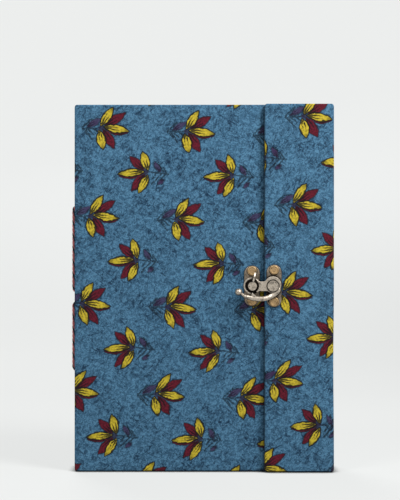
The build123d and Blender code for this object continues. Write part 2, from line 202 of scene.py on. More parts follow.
class ClothSettings(PropertyGroup):
    """Printed cotton cloth of the cover."""

    thickness: LengthProperty("Thickness", "Thickness of the cloth", 0.42 * MM)
    edge_radius: LengthProperty("Edge radius", "Rounding where the cloth turns over a board", 0.8 * MM)
    corner_radius: LengthProperty("Corner radius", "Rounding of the covers' corners", 1.5 * MM)
    cap_radius: LengthProperty("Cap radius", "Rounding of the spine's and the creases' ends", 1.45 * MM)
    spine_radius: LengthProperty("Spine radius", "Rounding along both edges of the spine", 0.9 * MM)
    turn_in: LengthProperty("Turn-in", "Cloth turned in behind the boards", 15 * MM)
    spacing: LengthProperty("Spacing", "Spacing of the cloth's mesh on flat ground", 4.5 * MM)
    bow: LengthProperty("Bow", "How far the fore-edge draws in near the tail", 0.4 * MM)
    ground_light: ColourProperty("Light ground", "Lightest blue of the ground", (0.365, 0.555, 0.685))
    ground: ColourProperty("Ground", "Blue of the ground", (0.240, 0.400, 0.515))
    ground_dark: ColourProperty("Dark ground", "Darkest blue of the ground", (0.075, 0.165, 0.260))
    yellow: ColourProperty("Yellow", "Yellow petals", (0.83, 0.74, 0.225))
    maroon: ColourProperty("Maroon", "Maroon petals", (0.42, 0.11, 0.175))
    purple: ColourProperty("Purple", "Leaves of the sprigs", (0.25, 0.17, 0.31))
    # The ink also colours the painted shade on the cloth near other pieces
    ink: ColourProperty("Ink", "Drawn outlines", (0.05, 0.065, 0.09))


class PaperSettings(PropertyGroup):
    """Handmade leaves, lining paper and binder's board."""

    sheets: IntProperty(name="Sheets", description="Folded sheets in each section", default=5, min=1)
    leaf: LengthProperty("Leaf", "Thickness of a leaf", 0.17 * MM)
    fold_pitch: LengthProperty("Fold pitch", "Spacing of the sheets in the fold", 0.175 * MM)
    fan: LengthProperty("Fan", "Length over which the leaves part from the fold", 9 * MM)
    deckle: LengthProperty("Deckle", "Depth of the feathered edges", 0.9 * MM)
    lining: LengthProperty("Lining", "Thickness of the lining", 0.25 * MM)
    leaf_colour: ColourProperty("Leaf colour", "Handmade paper", (0.90, 0.87, 0.78))
    lining_colour: ColourProperty("Lining colour", "Lining paper", (0.86, 0.81, 0.70))
    fibre_colour: ColourProperty("Fibre colour", "Stray fibres in the paper", (0.62, 0.52, 0.38))
    board_colour: ColourProperty("Board colour", "Binder's board", (0.56, 0.49, 0.39))


class CordSettings(PropertyGroup):
    """Twisted cord that sews the sections through the spine."""

    ply: LengthProperty("Ply", "Radius of one ply", 0.46 * MM)
    pitch: LengthProperty("Pitch", "Length of one twist", 7.6 * MM)
    red: ColourProperty("Red", "The two red plies", (0.80, 0.44, 0.44))
    black: ColourProperty("Black", "The dark ply", (0.09, 0.08, 0.11))


class ClaspSettings(PropertyGroup):
    """Aged cast metal of the clasp."""

    metal: ColourProperty("Metal", "Metal of the hook and the post", (0.73, 0.685, 0.63))
    plate: ColourProperty("Plates", "Duller metal of the plates", (0.60, 0.545, 0.48))
    rivet: ColourProperty("Rivets", "Golden rivets", (0.69, 0.575, 0.425))
    rubbed: ColourProperty("Rubbed", "Bright edges", (0.92, 0.89, 0.84))
    rubbed_rivet: ColourProperty("Rubbed rivets", "Bright edges of the rivets", (0.84, 0.71, 0.52))
    # Dark patina, which also colours the painted shade in gaps, under other metal and on undersides
    patina_and_shade: ColourProperty("Patina", "Dark patina in the recesses", (0.06, 0.05, 0.045))


class StageSettings(PropertyGroup):
    """Floor, light and camera."""

    backdrop: ColourProperty("Backdrop", "Pale floor and backdrop", (0.922, 0.929, 0.925))
    camera_x: LengthProperty("Camera X", "Camera across", -2.4 * MM)
    camera_height: LengthProperty("Camera height", "Camera up", 130.4 * MM)
    camera_distance: LengthProperty("Camera distance", "Camera from the front cover", 800 * MM)
    view_height: LengthProperty("View height", "Height in view at the front cover", 294 * MM)


class DiarySettings(PropertyGroup):
    """All that a user would change."""

    cloth: PointerProperty(type=ClothSettings, name="Cloth", description="Cover cloth")
    paper: PointerProperty(type=PaperSettings, name="Paper", description="Leaves and linings")
    cord: PointerProperty(type=CordSettings, name="Cord", description="Sewing cord")
    clasp: PointerProperty(type=ClaspSettings, name="Clasp", description="Clasp metal")
    stage: PointerProperty(type=StageSettings, name="Stage", description="Floor, light and camera")


def linear(colour):
    """A display colour as the linear colour that shaders take, with alpha."""
    return [c / 12.92 if c <= 0.04045 else ((c + 0.055) / 1.055) ** 2.4 for c in colour] + [1.0]


def spread(start, stop, count):
    """Evenly spaced numbers from start to stop, both included."""
    return [start + (stop - start) * i / (count - 1) for i in range(count)]


class Graph:
    """Short calls for adding and wiring the nodes of one tree."""

    COLUMNS = 12
    STEP = (190, 220)

    # Numbers of a mix node's colour sockets, whose names it shares with others
    MIX_LOW, MIX_HIGH, MIXED = 6, 7, 2

    def __init__(self, tree):
        self.tree = tree

    def node(self, kind, values=None, **settings):
        made = self.tree.nodes.new(kind)
        count = len(self.tree.nodes)
        made.location = ((count % self.COLUMNS) * self.STEP[0], -(count // self.COLUMNS) * self.STEP[1])
        for key, value in settings.items():
            setattr(made, key, value)
        self.wire(made, values or {})
        return made

    def use(self, group, **values):
        """One use of a node group, and its outputs."""
        return self.node("ShaderNodeGroup", values, node_tree=bpy.data.node_groups[group]).outputs

    def wire(self, node, values):
        for key, value in values.items():
            self.feed(node.inputs[key], value)

    def feed(self, socket, value):
        if isinstance(value, bpy.types.NodeSocket):
            self.tree.links.new(value, socket)
        else:
            socket.default_value = value

    def math(self, operation, *values, clamp=False):
        values = dict(enumerate(values))
        return self.node("ShaderNodeMath", values, operation=operation, use_clamp=clamp).outputs[0]

    def times(self, one, other):
        return self.math("MULTIPLY", one, other)

    def plus(self, one, other):
        return self.math("ADD", one, other)

    def minus(self, one, other):
        return self.math("SUBTRACT", one, other)

    def vector(self, operation, *values):
        made = self.node("ShaderNodeVectorMath", dict(enumerate(values)), operation=operation)
        return made.outputs["Value" if operation in ("DOT_PRODUCT", "LENGTH") else "Vector"]

    def scaled(self, vector, scale):
        values = {0: vector, "Scale": scale}
        return self.node("ShaderNodeVectorMath", values, operation="SCALE").outputs["Vector"]

    def parts(self, vector):
        """The X, Y and Z of a vector."""
        return self.node("ShaderNodeSeparateXYZ", {0: vector}).outputs

    def noise(self, vector, scale, detail=3.0, roughness=0.5, distortion=0.0, output="Fac"):
        values = {
            "Vector": vector, "Scale": scale, "Detail": detail,
            "Roughness": roughness, "Distortion": distortion,
        }
        return self.node("ShaderNodeTexNoise", values).outputs[output]

    def openness(self, reach, inside=False):
        """How open the space is round a point, or how thick the solid is behind it."""
        made = self.node(
            "ShaderNodeAmbientOcclusion", {"Distance": reach}, samples=SHADE_SAMPLES, inside=inside
        )
        return made.outputs["AO"]

    def shown(self):
        """1 for rays that show a surface to the camera, straight or in a reflection."""
        rays = self.node("ShaderNodeLightPath").outputs
        return self.most([rays[f"Is {kind} Ray"] for kind in ("Camera", "Glossy", "Transmission")])

    def mix(self, factor, low, high):
        values = {"Factor": factor, self.MIX_LOW: low, self.MIX_HIGH: high}
        return self.node("ShaderNodeMix", values, data_type="RGBA").outputs[self.MIXED]

    def smooth(self, value, low, high, most=1.0):
        """0 at low and most at high, with soft ends; low may be the greater."""
        values = {"Value": value, "From Min": low, "From Max": high, "To Max": most}
        return self.node("ShaderNodeMapRange", values, interpolation_type="SMOOTHSTEP").outputs[0]

    def most(self, values):
        """The greatest of several values."""
        first, *others = values
        for other in others:
            first = self.math("MAXIMUM", first, other)
        return first

    def bump(self, height, strength, distance):
        values = {"Height": height, "Strength": strength, "Distance": distance}
        return self.node("ShaderNodeBump", values).outputs[0]


def new_group(name, inputs, outputs):
    """An empty shader node group: its graph, and its sockets to take from and to feed."""
    tree = bpy.data.node_groups.new(name, "ShaderNodeTree")
    for way, sockets in (("INPUT", inputs), ("OUTPUT", outputs)):
        for socket in sockets:
            kind = "Vector" if socket in PLACES else "Float" if socket in VALUES else "Color"
            tree.interface.new_socket(socket, in_out=way, socket_type=f"NodeSocket{kind}")
    graph = Graph(tree)
    return graph, graph.node("NodeGroupInput").outputs, graph.node("NodeGroupOutput").inputs


def new_material(name, **values):
    """A material, its graph and its principled shader with plain values set on the shader."""
    material = bpy.data.materials.new(name)
    material.use_nodes = True
    shader = next(n for n in material.node_tree.nodes if n.type == "BSDF_PRINCIPLED")
    for socket, value in values.items():
        shader.inputs[socket.replace("_", " ")].default_value = value
    return material, Graph(material.node_tree), shader


def make_petal_group():
    """A pointed petal from base to tip: a point's depth inside it, its brush strokes and its dark tip."""
    graph, given, made = new_group(
        "Printed Petal", ["Coordinates", "Base", "Tip", "Width"], ["Depth", "Strokes", "Shade"]
    )
    fullness, stroke_side, stroke_half, soft = 0.86, 0.32, 0.46, 0.16
    axis = graph.vector("SUBTRACT", given["Tip"], given["Base"])
    length = graph.vector("LENGTH", axis)
    place = graph.vector("SUBTRACT", given["Coordinates"], given["Base"])
    along = graph.math("DIVIDE", graph.vector("DOT_PRODUCT", place, axis), graph.times(length, length))
    turned = graph.parts(graph.vector("CROSS_PRODUCT", axis, place))["Z"]
    across = graph.math("ABSOLUTE", graph.math("DIVIDE", turned, length))
    swell = graph.math("SINE", graph.times(graph.math("MAXIMUM", along, 0.0, clamp=True), pi))
    swell = graph.math("POWER", graph.math("MAXIMUM", swell, 0.0), fullness)
    half = graph.times(swell, graph.times(given["Width"], 0.5))
    past = graph.most([graph.times(along, -1.0), graph.minus(along, 1.0), 0.0])
    depth = graph.minus(graph.minus(half, across), graph.times(past, length))
    inside = graph.smooth(depth, -0.1, 0.2)
    broken = graph.noise(given["Coordinates"], 0.42, 1.0)
    away = graph.math("ABSOLUTE", graph.minus(across, graph.times(half, stroke_side)))
    reach = graph.plus(graph.times(broken, 0.7), 0.34)
    taper = graph.smooth(along, reach, 0.22, stroke_half)
    stroke = graph.smooth(away, graph.plus(taper, soft), graph.minus(taper, soft))
    stroke = graph.times(stroke, graph.smooth(broken, 0.28, 0.36))
    stop = graph.smooth(along, reach, graph.minus(reach, 0.14))
    ends = graph.times(graph.smooth(along, 0.02, 0.10), stop)
    graph.feed(made["Depth"], depth)
    graph.feed(made["Strokes"], graph.times(graph.times(stroke, ends), inside))
    graph.feed(made["Shade"], graph.times(graph.smooth(along, 0.66, 1.0), inside))


def make_line_group():
    """A drawn line between two points."""
    graph, given, made = new_group("Printed Line", ["Coordinates", "Start", "End", "Width"], ["Mask"])
    axis = graph.vector("SUBTRACT", given["End"], given["Start"])
    place = graph.vector("SUBTRACT", given["Coordinates"], given["Start"])
    along, whole = (graph.vector("DOT_PRODUCT", one, axis) for one in (place, axis))
    share = graph.math("DIVIDE", along, whole, clamp=True)
    away = graph.vector("LENGTH", graph.vector("SUBTRACT", place, graph.scaled(axis, share)))
    half = graph.times(given["Width"], 0.5)
    graph.feed(made["Mask"], graph.smooth(away, graph.plus(half, 0.22), graph.minus(half, 0.08)))


def make_repeat_group():
    """Coordinates measured from the nearest point of the printed repeat."""
    graph, given, made = new_group("Printed Repeat", ["Coordinates", "Origin"], ["Coordinates"])
    (ax, ay), (bx, by) = REPEAT_ACROSS, REPEAT_DOWN
    whole = ax * by - ay * bx
    place = graph.vector("SUBTRACT", given["Coordinates"], given["Origin"])
    moves = []
    for step, inverse in (
        (REPEAT_ACROSS, (by / whole, -bx / whole, 0)),
        (REPEAT_DOWN, (-ay / whole, ax / whole, 0)),
    ):
        count = graph.vector("DOT_PRODUCT", place, inverse)
        moves.append(graph.scaled((*step, 0), graph.minus(count, graph.math("ROUND", count))))
    graph.feed(made["Coordinates"], graph.vector("ADD", *moves))


def make_weave_group():
    """Plain weave: the height of crossing warp and weft, with slubs."""
    graph, given, made = new_group("Plain Weave", ["Coordinates", "Threads"], ["Height", "Slub"])
    place = graph.parts(graph.scaled(given["Coordinates"], graph.times(given["Threads"], pi)))
    over = graph.times(graph.math("SINE", place["X"]), graph.math("SINE", place["Y"]))
    slub = graph.noise(graph.vector("MULTIPLY", given["Coordinates"], (0.25, 1.6, 1.0)), 1.0, 2.0)
    graph.feed(made["Height"], graph.plus(graph.times(over, 0.5), graph.times(slub, 0.6)))
    graph.feed(made["Slub"], slub)


def make_ground_group():
    """The mottled ground of the print: speckle, soft patches and short dark brush strokes."""
    graph, given, made = new_group("Mottled Ground", ["Coordinates", "Light", "Middle", "Dark"], ["Color"])
    place = given["Coordinates"]
    broad = graph.noise(place, 0.080, 3.0, 0.6, 0.6)
    cloud = graph.noise(graph.vector("ADD", place, (40.0, 13.0, 0.0)), 0.27, 4.0, 0.66, 0.8)
    grain = graph.noise(place, 0.58, 4.0, 0.72, 1.2)
    fleck = graph.noise(graph.vector("ADD", place, (7.0, 61.0, 0.0)), 0.72, 3.0, 0.66, 1.1)
    strokes = []
    for angle, away in ((0.55, (11.0, 3.0, 0.0)), (-0.75, (5.0, 23.0, 0.0)), (1.9, (37.0, 51.0, 0.0))):
        values = {"Vector": place, "Angle": angle}
        turned = graph.node("ShaderNodeVectorRotate", values, rotation_type="Z_AXIS").outputs[0]
        drawn = graph.vector("ADD", graph.vector("MULTIPLY", turned, (0.36, 1.0, 1.0)), away)
        strokes.append(graph.noise(drawn, 0.62, 2.0, 0.55, 0.9))
    density = graph.smooth(broad, 0.36, 0.64)

    def share(least, more):
        return graph.plus(graph.times(density, more), least)

    colour = graph.mix(graph.smooth(grain, 0.42, 0.58), given["Middle"], given["Light"])
    for mask in (
        graph.smooth(broad, 0.44, 0.66, 0.16),
        graph.smooth(cloud, 0.48, 0.62, share(0.18, 0.34)),
        graph.smooth(graph.most(strokes), 0.60, 0.66, share(0.36, 0.46)),
        graph.smooth(fleck, 0.45, 0.34, share(0.46, 0.36)),
    ):
        colour = graph.mix(mask, colour, given["Dark"])
    graph.feed(made["Color"], colour)


def make_print_group():
    """The whole print: ground, sprigs and five-petalled flowers facing right and left by turns."""
    inks = ["Light", "Middle", "Dark", "Yellow", "Maroon", "Purple", "Ink"]
    graph, given, made = new_group("Floral Print", ["Coordinates", *inks], ["Color"])
    cloth, ink = given["Coordinates"], given["Ink"]
    wander = graph.vector("SUBTRACT", graph.noise(cloth, 0.42, 2.0, output="Color"), (0.5, 0.5, 0.5))
    drawn = graph.vector("ADD", cloth, graph.scaled(wander, 1.3))
    left_flower = [a + b for a, b in zip(FRONT_FLOWER, FACING_FLOWER)]
    right, left = (
        graph.use("Printed Repeat", Coordinates=drawn, Origin=(*flower, 0))[0]
        for flower in (FRONT_FLOWER, left_flower)
    )

    def rows(right_table, left_table):
        """Each row of both tables, after the coordinates that it is drawn in."""
        tables = ((right, right_table), (left, left_table))
        return [(place, *row) for place, table in tables for row in table]

    def petals(right_table, left_table):
        uses = [
            graph.use("Printed Petal", Coordinates=place, Base=(*base, 0), Tip=(*tip, 0), Width=wide)
            for place, base, tip, wide in rows(right_table, left_table)
        ]
        return [graph.most([use[name] for use in uses]) for name in ("Depth", "Strokes", "Shade")]

    def outline(depth, inside, outside):
        """An uneven drawn line at the edge of a shape."""
        uneven = graph.plus(depth, graph.times(graph.minus(patchy, 0.5), 2.6))
        broken, fine = graph.smooth(uneven, inside, inside / 3), graph.smooth(depth, inside / 2, inside / 6)
        return graph.times(graph.smooth(depth, -outside, -outside / 3), graph.most([broken, fine]))

    ground = graph.use("Mottled Ground", Coordinates=cloth, **{n: given[n] for n in inks[:3]})[0]
    worn = graph.noise(cloth, 0.9, 2.0, 0.6)
    patchy = graph.noise(graph.vector("ADD", cloth, (17.0, 29.0, 0.0)), 0.30, 2.0, 0.6)
    shaded = graph.noise(cloth, 0.7)
    leaf, leaf_strokes, _ = petals(RIGHT_LEAVES, LEFT_LEAVES)
    maroon, maroon_strokes, maroon_shade = petals(RIGHT_MAROON, LEFT_MAROON)
    yellow, yellow_strokes, yellow_shade = petals(RIGHT_YELLOW, LEFT_YELLOW)
    lines = graph.most([
        graph.use("Printed Line", Coordinates=place, Start=(*a, 0), End=(*b, 0), Width=LINE_WIDTH)[0]
        for place, a, b in rows(RIGHT_LINES, LEFT_LINES)
    ])
    leaf_ink = graph.most([outline(leaf, 0.4, 0.8), leaf_strokes])
    maroon_ink = graph.most([
        graph.times(outline(maroon, 0.55, 0.6), 0.7),
        graph.times(maroon_strokes, 0.85),
        graph.times(maroon_shade, 0.25),
    ])
    yellow_ink = graph.most([outline(yellow, 0.62, 0.75), yellow_strokes, graph.times(yellow_shade, 0.75)])
    heart = graph.math("MINIMUM", graph.vector("LENGTH", right), graph.vector("LENGTH", left))
    core = graph.mix(0.55, given["Purple"], ink)
    wine = graph.mix(graph.smooth(worn, 0.40, 0.62, 0.45), given["Maroon"], ink)
    gold = graph.mix(graph.smooth(shaded, 0.42, 0.68, 0.40), given["Yellow"], ink)
    colour = ground
    for mask, over in (
        (graph.times(lines, graph.smooth(worn, 0.30, 0.46, 0.72)), ink),
        (graph.smooth(leaf, -0.3, 0.4, 0.85), given["Purple"]),
        (graph.times(leaf_ink, graph.smooth(worn, 0.34, 0.5, 0.7)), ink),
        (graph.smooth(heart, 2.6, 1.0, 0.85), core),
        (graph.smooth(maroon, -0.1, 0.2), wine),
        (maroon_ink, ink),
        (graph.smooth(yellow, -0.05, 0.2), gold),
        (graph.times(yellow_ink, 0.92), ink),
    ):
        colour = graph.mix(mask, colour, over)
    graph.feed(made["Color"], colour)


def make_paper_group():
    """Handmade paper: cloudy colour, stray fibres and a soft tooth."""
    graph, given, made = new_group("Handmade Paper", ["Coordinates", "Paper", "Fibre"], ["Color", "Height"])
    place = given["Coordinates"]
    cloud = graph.noise(place, 0.11, 4.0, 0.6)
    tooth = graph.noise(place, 1.9, 4.0, 0.65)
    swirl = graph.vector("ADD", place, graph.scaled(graph.noise(place, 0.25, 2.0, output="Color"), 9.0))
    thin = graph.noise(graph.vector("MULTIPLY", swirl, (0.16, 1.9, 0.5)), 1.0, 2.0)
    fibre = graph.smooth(thin, 0.66, 0.72)
    tint = graph.mix(graph.smooth(cloud, 0.4, 0.68, 0.18), given["Paper"], given["Fibre"])
    graph.feed(made["Color"], graph.mix(graph.times(fibre, 0.4), tint, given["Fibre"]))
    graph.feed(made["Height"], graph.plus(tooth, graph.times(fibre, 0.3)))


def make_aged_metal_group():
    """Cast metal with dark patina and painted shade where it is little open, stains on its flats and rubbed
    bright edges.
    """
    graph, given, made = new_group(
        "Aged Metal",
        ["Coordinates", "Open", "Solid", "Metal", "Patina", "Rubbed"],
        ["Color", "Roughness", "Height"],
    )
    place = given["Coordinates"]
    cast = graph.noise(place, 1.5, 4.0, 0.62)
    stain = graph.noise(place, 0.45, 4.0, 0.62)
    scratch = graph.noise(graph.vector("MULTIPLY", place, (0.6, 1.0, 4.5)), 1.4, 2.0)
    flats = graph.plus(graph.smooth(stain, 0.46, 0.66, 0.46), graph.smooth(cast, 0.50, 0.64, 0.42))
    # Patina in the recesses, with painted shade under and between parts and on undersides, and stains on
    # the flats
    deep = graph.most([graph.smooth(given["Open"], 0.97, 0.64, 0.98), flats])
    colour = graph.mix(deep, given["Metal"], given["Patina"])
    rub = graph.times(graph.smooth(given["Solid"], 0.76, 0.50), graph.smooth(given["Open"], 0.5, 0.8))
    rub = graph.times(rub, graph.smooth(stain, 0.66, 0.46, 0.5))
    graph.feed(made["Color"], graph.mix(rub, colour, given["Rubbed"]))
    rough = graph.plus(graph.times(deep, 0.25), graph.times(scratch, 0.16))
    graph.feed(made["Roughness"], graph.plus(rough, 0.34))
    graph.feed(made["Height"], graph.plus(cast, graph.times(scratch, 0.3)))


def make_groups():
    """All shared effects, once."""
    if "Floral Print" not in bpy.data.node_groups:
        for make in (
            make_petal_group, make_line_group, make_repeat_group, make_weave_group,
            make_ground_group, make_print_group, make_paper_group, make_aged_metal_group,
        ):
            make()


def millimetres(graph):
    """Object coordinates in millimetres."""
    return graph.scaled(graph.node("ShaderNodeTexCoord").outputs["Object"], 1 / MM)


def cloth_finish(settings):
    """Printed cotton: the print lies in the cloth's own flat coordinates, over a plain weave."""
    material, graph, shader = new_material(
        "printed_cotton", Sheen_Weight=0.03, Sheen_Roughness=0.5, Specular_IOR_Level=0.12
    )
    flat = graph.scaled(graph.node("ShaderNodeUVMap", uv_map="Print").outputs[0], 1 / MM)
    inks = {
        "Light": settings.ground_light, "Middle": settings.ground, "Dark": settings.ground_dark,
        "Yellow": settings.yellow, "Maroon": settings.maroon, "Purple": settings.purple,
        "Ink": settings.ink,
    }
    colour = graph.use("Floral Print", Coordinates=flat, **{n: linear(ink) for n, ink in inks.items()})[0]
    weave = graph.use("Plain Weave", Coordinates=flat, Threads=WEAVE_THREADS)
    slub = weave["Slub"]
    values = {"Value": graph.plus(graph.times(slub, 0.24), 0.88), "Color": colour}
    lifted = graph.node("ShaderNodeHueSaturation", values).outputs[0]
    # Painted shade: the cloth turns towards the ink colour near other pieces, under the clasp and at the
    # foot of the flap's edge
    near, touching = graph.openness(SHADE_REACH), graph.openness(TOUCH_REACH)
    shades = ((near, 0.72, 0.20, 0.95), (near, 0.48, 0.36, 0.95), (touching, 0.94, 0.55, 0.92))
    painted_shade = graph.most([graph.smooth(*shade) for shade in shades])
    graph.wire(shader, {
        "Base Color": graph.mix(painted_shade, lifted, linear(settings.ink)),
        "Roughness": graph.plus(graph.times(slub, 0.25), 0.62),
        "Normal": graph.bump(weave["Height"], 0.35, 0.12 * MM),
    })
    return material


def paper_finish(name, paper, fibre):
    """Handmade paper."""
    material, graph, shader = new_material(name, Roughness=0.85, Specular_IOR_Level=0.25)
    place = millimetres(graph)
    made = graph.use("Handmade Paper", Coordinates=place, Paper=linear(paper), Fibre=linear(fibre))
    normal = graph.bump(made["Height"], 0.4, 0.1 * MM)
    graph.wire(shader, {"Base Color": made["Color"], "Normal": normal})
    return material


def cord_finish(name, colour):
    """Spun cotton: fine fibres along the ply."""
    material, graph, shader = new_material(name, Roughness=0.8, Specular_IOR_Level=0.2, Sheen_Weight=0.2)
    place = millimetres(graph)
    fibre = graph.noise(graph.vector("MULTIPLY", place, (3.0, 3.0, 1.1)), 1.6, 3.0, 0.6)
    paler, lift, darker = 1.45, 0.03, 0.45
    pale = [min(1.0, c * paler + lift) for c in linear(colour)[:3]] + [1.0]
    dark = [c * darker for c in linear(colour)[:3]] + [1.0]
    tint = graph.mix(graph.smooth(fibre, 0.3, 0.7), dark, pale)
    graph.wire(shader, {"Base Color": tint, "Normal": graph.bump(fibre, 0.6, 0.15 * MM)})
    return material


def metal_finish(name, metal, rubbed, patina_and_shade, reach, black=None):
    """Aged metal: how open and how thin the metal is at a point finds its recesses and its edges.
    Recesses take patina that is also painted shade, and faces turned down take painted shade.

    black is an axis (x, z) and two distances from it: the metal is black at the first, bare at the second,
    as painted shade in gaps and as dark joints.
    """
    material, graph, shader = new_material(name, Metallic=1.0)
    place = millimetres(graph)
    facing = graph.parts(graph.node("ShaderNodeTexCoord").outputs["Normal"])["Z"]
    # Faces turned down count as less open: painted shade on the undersides
    open_minus_painted_shade = graph.minus(graph.openness(reach), graph.smooth(facing, -0.25, -0.95, 0.30))
    if black is not None:
        x, z, dark, bare = (size / MM for size in black)
        aside = graph.vector("MULTIPLY", graph.vector("SUBTRACT", place, (x, 0, z)), (1, 0, 1))
        open_minus_painted_shade = graph.times(open_minus_painted_shade, graph.smooth(graph.vector("LENGTH", aside), dark, bare))
    made = graph.use(
        "Aged Metal", Coordinates=place, Open=open_minus_painted_shade, Solid=graph.openness(EDGE_REACH, inside=True),
        Metal=linear(metal), Patina=linear(patina_and_shade), Rubbed=linear(rubbed),
    )
    graph.wire(shader, {
        "Base Color": made["Color"],
        "Roughness": made["Roughness"],
        "Normal": graph.bump(made["Height"], 0.3, 0.12 * MM),
    })
    return material


def build(name, vertices, faces, material, prints=None):
    """A mesh object from points and faces, with the cloth's flat coordinates as its map if given."""
    mesh = bpy.data.meshes.new(name)
    mesh.from_pydata(vertices, [], faces)
    if prints is not None:
        layer = mesh.uv_layers.new(name="Print")
        for loop in mesh.loops:
            layer.data[loop.index].uv = prints[loop.vertex_index]
    mesh.materials.append(material)
    made = bpy.data.objects.new(name, mesh)
    bpy.context.scene.collection.objects.link(made)
    return made


def thicken(piece, thickness):
    """Gives a sheet its thickness, away from its face, and sharpens the edges of the sheet."""
    solid = piece.modifiers.new("Thickness", "SOLIDIFY")
    solid.thickness = thickness
    solid.offset = -1
    solid.use_rim = True
    shape = bpy.data.meshes.new_from_object(piece.evaluated_get(bpy.context.evaluated_depsgraph_get()))
    piece.modifiers.clear()
    old = piece.data
    piece.data = shape
    bpy.data.meshes.remove(old)
    shape.name = piece.name
    smooth_edges(piece, SHEET_SHARP)


def smooth_edges(piece, sharp):
    """Smooth shading with sharp edges above an angle."""
    piece.data.polygons.foreach_set("use_smooth", [True] * len(piece.data.polygons))
    piece.data.set_sharp_from_angle(angle=radians(sharp))


class ClothPath:
    """The plan of the cover's cloth, unrolled from the flap's free edge to the front's fore-edge.

    Each station holds the cloth's outer face, the inner face behind the board and the cloth's rise.
    In a bend the inner face is gathered, and drawn out by the share GATHER. Within CUT_BACK of a crease
    the turn-in is only CREASE_TURN_IN deep.
    """

    ARC_STEPS = 8
    GATHER = 0.06
    CUT_BACK = 11 * MM
    CREASE_TURN_IN = 4 * MM
    END_ROOM = 0.2 * MM

    def __init__(self, settings):
        self.stations, ends = [], []
        turn = settings.spine_radius
        flap_face, front_face = FLAP_LOW.y + WRAP_DEPTH, FRONT_HIGH.y
        place = (FLAP_LOW.x, FLAP_LOW.y)

        # Each run stops at a corner: its place, its radius, the first angle of its arc, the inner face at
        # the front, and the cloth's rise before and after it
        for corner, radius, first, face, rise, after in (
            ((STRIP_HIGH.x, FLAP_LOW.y), CREASE_RADIUS, -90, flap_face, FLAP_LIFT, FLAP_LIFT),
            ((STRIP_HIGH.x, BACK_HIGH.y), CREASE_RADIUS, 0, flap_face, FLAP_LIFT, 0.0),
            ((SPINE_LOW.x, BACK_HIGH.y), turn, 90, front_face, 0.0, 0.0),
            ((SPINE_LOW.x, FRONT_LOW.y), turn, 180, front_face, 0.0, 0.0),
            ((FRONT_HIGH.x, FRONT_LOW.y), 0.0, 270, front_face, 0.0, 0.0),
        ):
            way = (-sin(radians(first)), cos(radians(first)))
            stop = (corner[0] - radius * way[0], corner[1] - radius * way[1])
            steps = round(hypot(stop[0] - place[0], stop[1] - place[1]) / settings.spacing)
            for share in spread(0, 1, max(2, steps + 1)):
                point = tuple(a + (b - a) * share for a, b in zip(place, stop))
                self.add(point, self.inner(point, face), rise)
            ends.append(self.travel)
            centre = (stop[0] - radius * way[1], stop[1] + radius * way[0])
            inner = self.inner(corner, face)
            for share in spread(0, 1, self.ARC_STEPS + 1)[1:-1] if radius else []:
                angle = radians(first + 90 * share)
                point = (centre[0] + radius * cos(angle), centre[1] + radius * sin(angle))
                gathered = tuple(i + (p - i) * self.GATHER for i, p in zip(inner, point))
                self.add(point, gathered, rise + (after - rise) * share)
            place = (centre[0] + radius * way[0], centre[1] + radius * way[1])
        self.flap_end, self.strip_end, self.back_end, _, self.end = ends
        self.travels = [s[0] for s in self.stations]
        self.creases = [end + CREASE_RADIUS * pi / 4 for end in (self.flap_end, self.strip_end)]
        self.front_start = self.end - (FRONT_HIGH.x - FRONT_LOW.x)
        self.drift = self.print_drift()

    @property
    def travel(self):
        return self.stations[-1][0] if self.stations else 0.0

    def inner(self, point, front):
        """The inner face behind a place on the outer face; front is where it lies at the front."""
        x = min(max(point[0], SPINE_HIGH.x), STRIP_HIGH.x - WRAP_DEPTH)
        return x, min(max(point[1], front), BACK_LOW.y)

    def add(self, outer, inner, rise):
        step = 0.0
        if self.stations:
            last = self.stations[-1][1]
            step = hypot(outer[0] - last[0], outer[1] - last[1])
        self.stations.append((self.travel + step, outer, inner, rise))

    def print_drift(self):
        """How far the flap's flowers lie from those of the front's repeat, whole repeats left out."""
        place = self.flap_end - self.front_start
        edge = CREASE_X - FRONT_LOW.x
        offset = [
            edge / MM - FLAP_FLOWER[0] + FRONT_FLOWER[0] - place / MM, FRONT_FLOWER[1] - FLAP_FLOWER[1]
        ]
        (ax, ay), (bx, by) = REPEAT_ACROSS, REPEAT_DOWN
        whole = ax * by - ay * bx
        across = (offset[0] * by - offset[1] * bx) / whole
        down = (offset[1] * ax - offset[0] * ay) / whole
        across -= round(across)
        down -= round(down)
        return (across * ax + down * bx) * MM, (across * ay + down * by) * MM

    def at(self, travel):
        """Outer place, inner place and rise at a travel along the cloth, straight on past both ends."""
        i = min(max(bisect_right(self.travels, travel), 1), len(self.stations) - 1)
        a, b = self.stations[i - 1], self.stations[i]
        share = (travel - a[0]) / (b[0] - a[0])
        outer, inner = (tuple(p + (q - p) * share for p, q in zip(a[k], b[k])) for k in (1, 2))
        return outer, inner, a[3] + (b[3] - a[3]) * min(max(share, 0), 1)

    def printed(self, travel, up):
        """Where the print lies at a place of the flat cloth: it drifts over the back cover."""
        share = min(max((self.back_end - travel) / (self.back_end - self.strip_end), 0), 1)
        share = share * share * (3 - 2 * share)
        sway = sum(far * exp(-(((up / MM - height) / over) ** 2)) for far, height, over in PRINT_SWAYS) * MM
        return travel - self.front_start + self.drift[0] * share + sway, up + self.drift[1] * share

    def turned(self, travel, turn_in):
        """Depth of the turn-in at head and tail, cut back at the creases so that the lining can bend."""
        away = min(abs(travel - crease) for crease in self.creases)
        return min(turn_in, self.CREASE_TURN_IN + max(0.0, away - self.CUT_BACK))

    def columns(self, start, stop):
        """Travels of the stations between two travels, ends included."""
        inside = [t for t in self.travels if start + self.END_ROOM < t < stop - self.END_ROOM]
        return [start] + inside + [stop]


